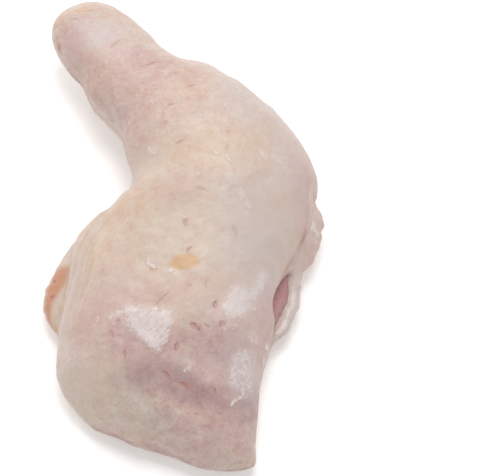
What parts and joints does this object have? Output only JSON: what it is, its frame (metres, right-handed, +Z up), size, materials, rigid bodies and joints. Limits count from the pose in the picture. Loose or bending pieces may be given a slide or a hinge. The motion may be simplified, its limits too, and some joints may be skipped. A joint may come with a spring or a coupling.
{
  "type": "raw chicken leg quarter",
  "caption": "Raw chicken leg quarter with the skin on: a bent drumstick and thigh in one piece, lying flat with the outer side up.",
  "frame": {"origin": "middle of the part's plan outline, on the plane that it rests on", "axes": "+Z up from the resting plane through the outer side of the leg, +Y along the leg's longest extent towards the hock, +X towards the front edge with the knee"},
  "size_m": [0.1106, 0.1912, 0.0489],
  "materials": {
    "skin": "moist raw poultry skin, pale cream and pink, soft sheen"
  },
  "bodies": {
    "root": {"leg_quarter": "skin"}
  },
  "joints": []
}
